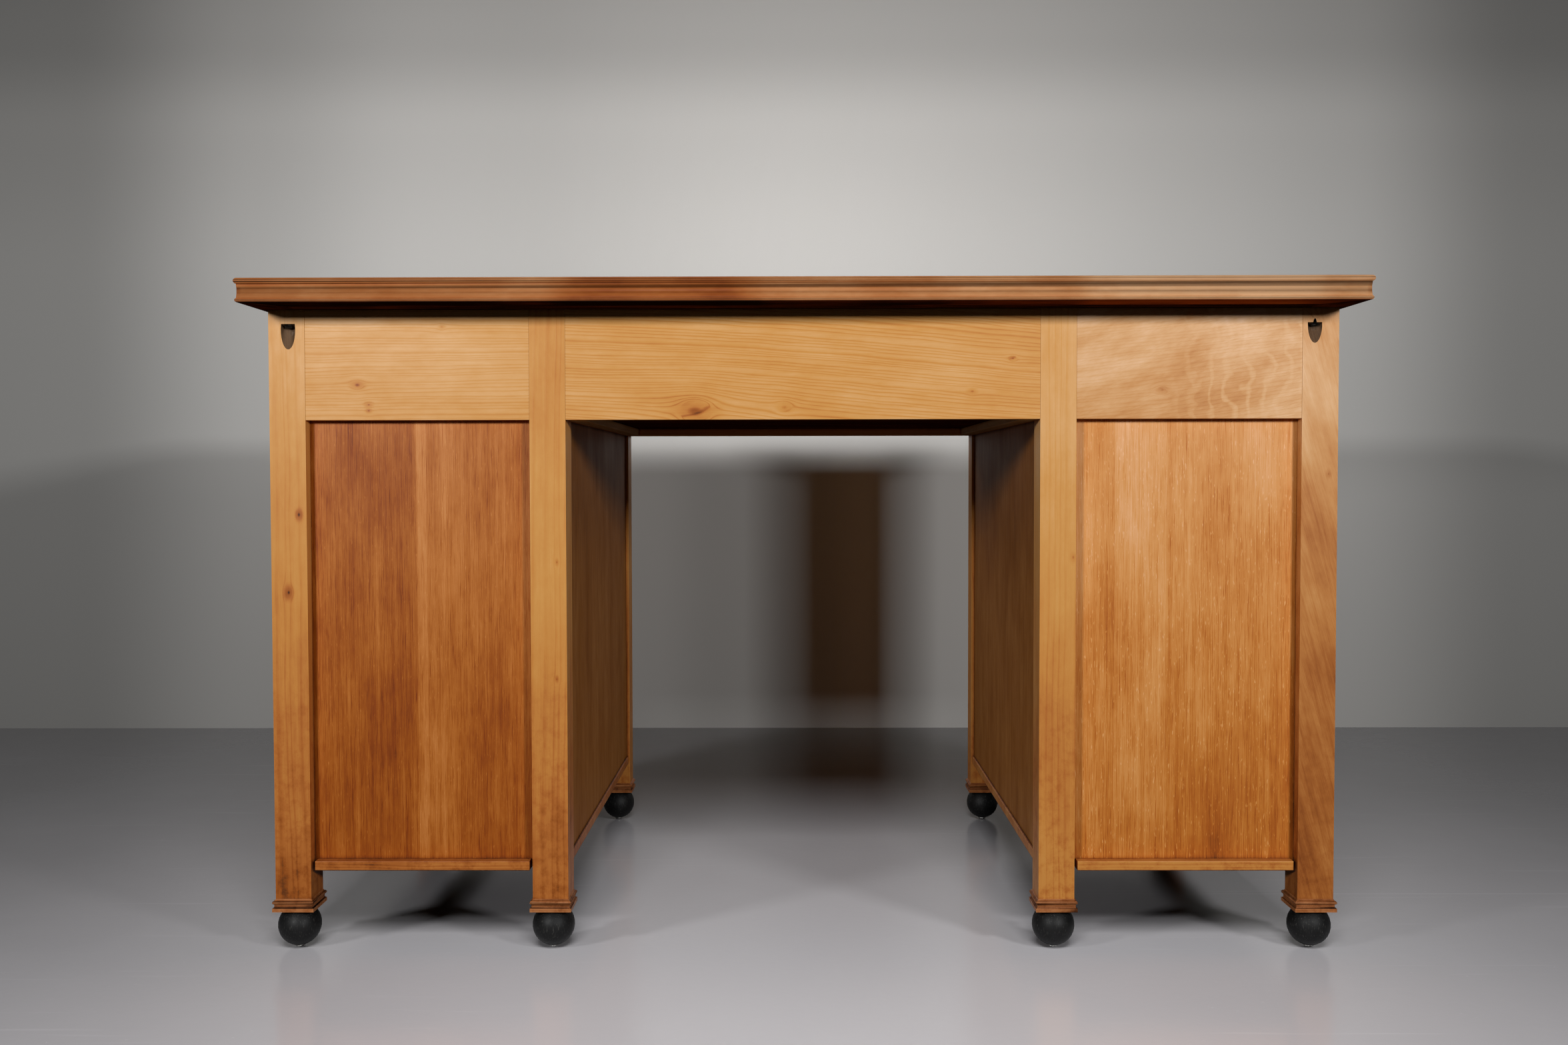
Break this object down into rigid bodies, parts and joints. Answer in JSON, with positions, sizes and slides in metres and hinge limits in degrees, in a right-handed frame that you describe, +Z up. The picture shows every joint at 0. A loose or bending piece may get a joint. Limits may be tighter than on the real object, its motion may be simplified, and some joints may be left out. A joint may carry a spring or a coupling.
{
  "type": "kneehole desk",
  "caption": "Two-pedestal kneehole desk on ball feet, with square posts, panelled sides, frieze drawers, cupboards and a moulded top",
  "frame": {"origin": "on the floor under the middle of the top's outline", "axes": "+Z up, +X along the desk to the sitter's right, +Y from the sitter to the back"},
  "size_m": [1.262, 0.8, 0.78],
  "materials": {
    "top_wood": "satin",
    "blond_wood": "satin",
    "oak_veneer": "satin",
    "ebonised": "satin",
    "pale_wood": "matt",
    "brass": "satin",
    "steel": "satin"
  },
  "bodies": {
    "desk": {"top_panel": "top_wood", "top_edging_front": "top_wood", "top_edging_back": "top_wood", "top_edging_left": "top_wood", "top_edging_right": "top_wood", "post_outer_left_front": "blond_wood", "post_outer_left_back": "blond_wood", "post_inner_left_front": "blond_wood", "post_inner_left_back": "blond_wood", "post_inner_right_front": "blond_wood", "post_inner_right_back": "blond_wood", "post_outer_right_front": "blond_wood", "post_outer_right_back": "blond_wood", "post_collars": "blond_wood", "ball_feet": "ebonised", "foot_glides": "steel", "back_frieze_left": "blond_wood", "back_frieze_centre": "blond_wood", "back_frieze_right": "blond_wood", "end_friezes": "blond_wood", "kneehole_friezes": "blond_wood", "front_top_rails": "blond_wood", "drawer_rails": "blond_wood", "drawer_runners": "pale_wood", "drawer_kickers": "pale_wood", "drawer_stops": "pale_wood", "back_panel_left": "oak_veneer", "back_panel_right": "oak_veneer", "end_panels": "oak_veneer", "kneehole_panels": "oak_veneer", "kneehole_ceiling": "oak_veneer", "bottom_boards": "oak_veneer", "cupboard_shelves": "pale_wood", "shelf_battens": "pale_wood", "top_screws": "steel", "post_hinge_leaves": "brass", "hinge_pins": "steel"},
    "drawer_left": {"drawer_left_front": "blond_wood", "drawer_left_box": "pale_wood", "drawer_left_bottom": "pale_wood", "drawer_left_knob": "ebonised"},
    "drawer_centre": {"drawer_centre_front": "blond_wood", "drawer_centre_box": "pale_wood", "drawer_centre_bottom": "pale_wood", "drawer_centre_knobs": "ebonised"},
    "drawer_right": {"drawer_right_front": "blond_wood", "drawer_right_box": "pale_wood", "drawer_right_bottom": "pale_wood", "drawer_right_knob": "ebonised"},
    "door_left": {"door_left_frame": "blond_wood", "door_left_panel": "oak_veneer", "door_left_hinge_leaves": "brass"},
    "latch_left": {"door_left_knob": "ebonised", "door_left_latch": "brass"},
    "door_right": {"door_right_frame": "blond_wood", "door_right_panel": "oak_veneer", "door_right_hinge_leaves": "brass"},
    "latch_right": {"door_right_knob": "ebonised", "door_right_latch": "brass"}
  },
  "joints": [
    {"name": "drawer_left_slide", "type": "slide", "parent": "desk", "child": "drawer_left", "axis": [0, -1, 0], "range_m": [0, 0.42]},
    {"name": "drawer_centre_slide", "type": "slide", "parent": "desk", "child": "drawer_centre", "axis": [0, -1, 0], "range_m": [0, 0.42]},
    {"name": "drawer_right_slide", "type": "slide", "parent": "desk", "child": "drawer_right", "axis": [0, -1, 0], "range_m": [0, 0.42]},
    {"name": "door_left_swing", "type": "hinge", "parent": "desk", "child": "door_left", "pos_m": [-0.57825, -0.3558, 0.36], "axis": [0, 0, -1], "range_deg": [0, 170]},
    {"name": "latch_left_turn", "type": "hinge", "parent": "door_left", "child": "latch_left", "pos_m": [-0.3435, -0.342, 0.43], "axis": [0, -1, 0], "range_deg": [0, 90]},
    {"name": "door_right_swing", "type": "hinge", "parent": "desk", "child": "door_right", "pos_m": [0.57825, -0.3558, 0.36], "axis": [0, 0, 1], "range_deg": [0, 170]},
    {"name": "latch_right_turn", "type": "hinge", "parent": "door_right", "child": "latch_right", "pos_m": [0.3435, -0.342, 0.43], "axis": [0, 1, 0], "range_deg": [0, 90]}
  ]
}
